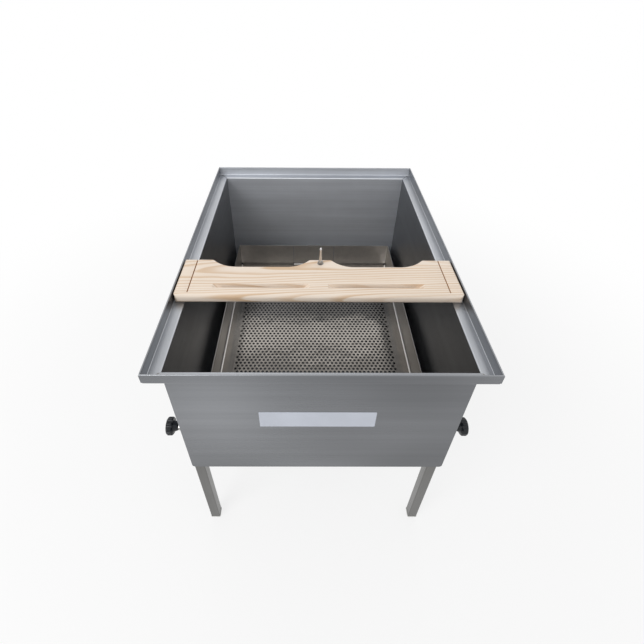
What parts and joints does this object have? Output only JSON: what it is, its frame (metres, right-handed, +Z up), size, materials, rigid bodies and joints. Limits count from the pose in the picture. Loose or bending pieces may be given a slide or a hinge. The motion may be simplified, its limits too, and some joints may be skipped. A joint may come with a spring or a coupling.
{
  "type": "uncapping tank",
  "caption": "Stainless uncapping tank on clamped square legs, with a lift-out perforated sieve, a slotted wooden bar with a frame spike, and a honey gate at the rear.",
  "frame": {"origin": "on the ground, under the middle of the part's bounding box", "axes": "+Z up, +Y along the tank from its front panel to the honey gate behind, +X to the right seen from the front"},
  "size_m": [0.5386, 0.665, 0.6452],
  "materials": {
    "tank_steel": "brushed stainless sheet, grain along the folds",
    "socket_steel": "bare stainless sheet",
    "leg_steel": "drawn stainless tube",
    "sieve_steel": "bright rolled stainless sheet",
    "fastener_steel": "turned stainless",
    "bar_wood": "planed pale softwood, unvarnished",
    "knob_plastic": "black moulded plastic",
    "foot_plastic": "pale grey moulded plastic",
    "gate_plastic": "ivory moulded plastic",
    "seal_rubber": "soft food-grade rubber"
  },
  "bodies": {
    "tank": {"tank_trough": "tank_steel", "front_panel": "tank_steel", "rear_panel": "tank_steel", "leg_socket_front_left": "socket_steel", "leg_socket_front_right": "socket_steel", "leg_socket_rear_left": "socket_steel", "leg_socket_rear_right": "socket_steel", "socket_weld_nuts": "fastener_steel", "gate_body": "gate_plastic", "gate_seal": "seal_rubber", "gate_back_nut": "gate_plastic", "gate_face_seal": "seal_rubber", "gate_bolts": "fastener_steel", "gate_washers": "fastener_steel", "gate_pivot_nut": "fastener_steel"},
    "leg_front_left": {"leg_front_left": "leg_steel", "foot_cap_front_left": "foot_plastic"},
    "leg_front_right": {"leg_front_right": "leg_steel", "foot_cap_front_right": "foot_plastic"},
    "leg_rear_left": {"leg_rear_left": "leg_steel", "foot_cap_rear_left": "foot_plastic"},
    "leg_rear_right": {"leg_rear_right": "leg_steel", "foot_cap_rear_right": "foot_plastic"},
    "knob_front_left": {"knob_front_left": "knob_plastic", "knob_stud_front_left": "fastener_steel"},
    "knob_front_right": {"knob_front_right": "knob_plastic", "knob_stud_front_right": "fastener_steel"},
    "knob_rear_left": {"knob_rear_left": "knob_plastic", "knob_stud_rear_left": "fastener_steel"},
    "knob_rear_right": {"knob_rear_right": "knob_plastic", "knob_stud_rear_right": "fastener_steel"},
    "sieve": {"sieve_floor": "sieve_steel", "sieve_left_wall": "sieve_steel", "sieve_right_wall": "sieve_steel", "sieve_front_flap": "sieve_steel", "sieve_rear_flap": "sieve_steel", "sieve_runners": "sieve_steel"},
    "bar": {"uncapping_bar": "bar_wood", "spike": "fastener_steel", "spike_nuts": "fastener_steel", "spike_washers": "fastener_steel"},
    "gate_blade": {"gate_blade": "gate_plastic"},
    "gate_wing_nut": {"gate_wing_nut": "fastener_steel"}
  },
  "joints": [
    {"name": "leg_front_left_slide", "type": "slide", "parent": "tank", "child": "leg_front_left", "axis": [0, 0, -1], "range_m": [0, 0.06]},
    {"name": "leg_front_right_slide", "type": "slide", "parent": "tank", "child": "leg_front_right", "axis": [0, 0, -1], "range_m": [0, 0.06]},
    {"name": "leg_rear_left_slide", "type": "slide", "parent": "tank", "child": "leg_rear_left", "axis": [0, 0, -1], "range_m": [0, 0.06]},
    {"name": "leg_rear_right_slide", "type": "slide", "parent": "tank", "child": "leg_rear_right", "axis": [0, 0, -1], "range_m": [0, 0.06]},
    {"name": "knob_front_left_turn", "type": "hinge", "parent": "tank", "child": "knob_front_left", "pos_m": [-0.2503, -0.2595, 0.372], "axis": [-1, 0, 0], "continuous": true},
    {"name": "knob_front_right_turn", "type": "hinge", "parent": "tank", "child": "knob_front_right", "pos_m": [0.2503, -0.2595, 0.372], "axis": [1, 0, 0], "continuous": true},
    {"name": "knob_rear_left_turn", "type": "hinge", "parent": "tank", "child": "knob_rear_left", "pos_m": [-0.2503, 0.2315, 0.372], "axis": [-1, 0, 0], "continuous": true},
    {"name": "knob_rear_right_turn", "type": "hinge", "parent": "tank", "child": "knob_rear_right", "pos_m": [0.2503, 0.2315, 0.372], "axis": [1, 0, 0], "continuous": true},
    {"name": "sieve_lift", "type": "slide", "parent": "tank", "child": "sieve", "axis": [0, 0, 1], "range_m": [0, 0.185]},
    {"name": "bar_slide", "type": "slide", "parent": "tank", "child": "bar", "axis": [0, 1, 0], "range_m": [-0.15, 0.378]},
    {"name": "gate_blade_swing", "type": "hinge", "parent": "tank", "child": "gate_blade", "pos_m": [-0.045, 0.319, 0.3652], "axis": [0, -1, 0], "range_deg": [0, 85]},
    {"name": "gate_wing_nut_turn", "type": "hinge", "parent": "tank", "child": "gate_wing_nut", "pos_m": [0.045, 0.3265, 0.3652], "axis": [0, 1, 0], "continuous": true}
  ]
}
